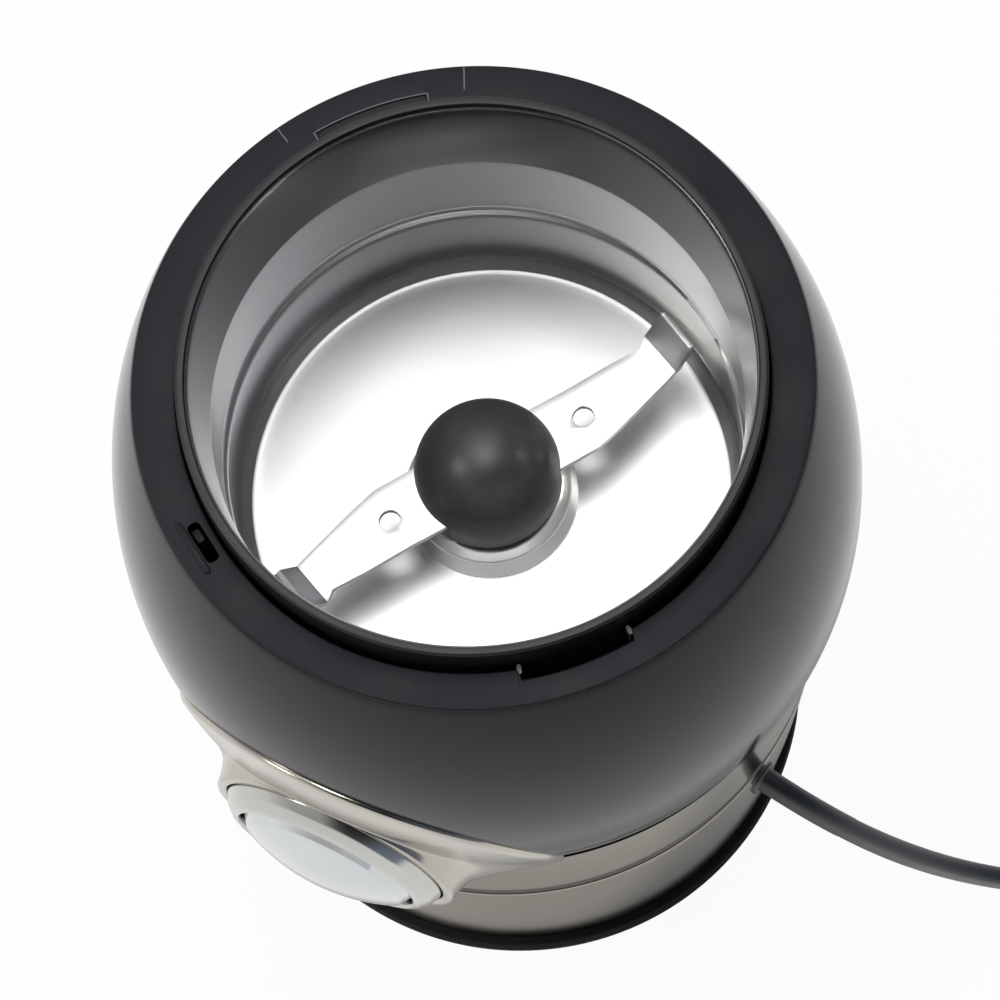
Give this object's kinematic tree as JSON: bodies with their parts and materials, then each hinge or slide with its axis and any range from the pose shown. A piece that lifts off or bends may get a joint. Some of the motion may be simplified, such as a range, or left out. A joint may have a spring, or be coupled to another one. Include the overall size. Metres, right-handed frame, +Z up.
{
  "type": "electric spice grinder",
  "caption": "Round electric spice grinder, lid off: steel bowl with a two-armed blade, locking ring, front push button, steel skirt and mains cord.",
  "frame": {"origin": "centre of the foot ring on the surface it stands on", "axes": "+Z up along the bowl axis, the push button faces -Y, the cord leaves towards +X"},
  "size_m": [0.238, 0.1369, 0.148],
  "materials": {
    "black_plastic": "fine matt",
    "ring_plastic": "fine matt, blue-grey",
    "gloss_plastic": "high gloss, dark grey",
    "inner_plastic": "as moulded",
    "switch_plastic": "as moulded",
    "red_plastic": "as moulded",
    "silver_plastic": "satin silver coat",
    "chromed_plastic": "satin chrome plate",
    "cap_plastic": "satin black",
    "skirt_steel": "polished",
    "bowl_steel": "drawn and polished",
    "blade_steel": "bead blasted",
    "shaft_steel": "ground",
    "spring_steel": "drawn wire",
    "screw_steel": "zinc plated",
    "core_iron": "stamped laminations, varnished",
    "copper": "enamelled wire",
    "commutator_copper": "turned",
    "bronze": "sintered, oiled",
    "brass_strip": "stamped",
    "cast_alloy": "die cast",
    "hub_alloy": "polished",
    "carbon": "pressed carbon",
    "seal_rubber": "smooth",
    "mount_rubber": "smooth",
    "cord_pvc": "soft satin",
    "plug_pvc": "fine matt",
    "pin_brass": "nickel plated",
    "capacitor": "as moulded"
  },
  "bodies": {
    "base": {"foot_ring": "black_plastic", "base_plate": "black_plastic", "base_screws": "screw_steel", "chassis": "inner_plastic", "steel_skirt": "skirt_steel", "skirt_band": "black_plastic", "barrel": "gloss_plastic", "locking_ring": "ring_plastic", "bowl_collar": "black_plastic", "bowl": "bowl_steel", "bowl_deck": "inner_plastic", "bowl_holder": "inner_plastic", "hub": "hub_alloy", "upper_bush": "bronze", "shaft_seal": "seal_rubber", "motor_plate": "cast_alloy", "rubber_mounts": "mount_rubber", "stator_core": "core_iron", "field_coils": "copper", "brush_holders": "brass_strip", "carbon_brushes": "carbon", "lower_bracket": "cast_alloy", "lower_bush": "bronze", "motor_screws": "screw_steel", "front_panel": "silver_plastic", "button_carrier": "inner_plastic", "button_bezel": "chromed_plastic", "button_spring": "spring_steel", "power_switch": "switch_plastic", "interlock_spring": "spring_steel", "lid_switch": "switch_plastic", "suppressor": "capacitor", "cord_relief": "plug_pvc", "cord_clamp": "inner_plastic", "cord": "cord_pvc", "cord_coil": "cord_pvc", "cord_tail": "cord_pvc", "coil_tie": "plug_pvc", "plug_body": "plug_pvc", "plug_pins": "pin_brass"},
    "rotor": {"drive_shaft": "shaft_steel", "blade_washer": "shaft_steel", "blade": "blade_steel", "blade_cap": "cap_plastic", "rotor_core": "core_iron", "rotor_windings": "copper", "commutator": "commutator_copper", "cooling_fan": "switch_plastic"},
    "button": {"power_button": "chromed_plastic", "switch_plunger": "red_plastic"},
    "interlock": {"interlock_pin": "ring_plastic"}
  },
  "joints": [
    {"name": "rotor_spin", "type": "hinge", "parent": "base", "child": "rotor", "pos_m": [0, 0, 0], "axis": [0, 0, 1], "continuous": true},
    {"name": "button_press", "type": "slide", "parent": "base", "child": "button", "axis": [0, 1, 0], "range_m": [0, 0.0025], "stiffness_N_per_m": 500, "springref_m": -0.003, "deforming": ["button_spring"]},
    {"name": "interlock_press", "type": "slide", "parent": "base", "child": "interlock", "axis": [0, 0, -1], "range_m": [0, 0.003], "stiffness_N_per_m": 200, "springref_m": -0.003, "deforming": ["interlock_spring"]}
  ]
}
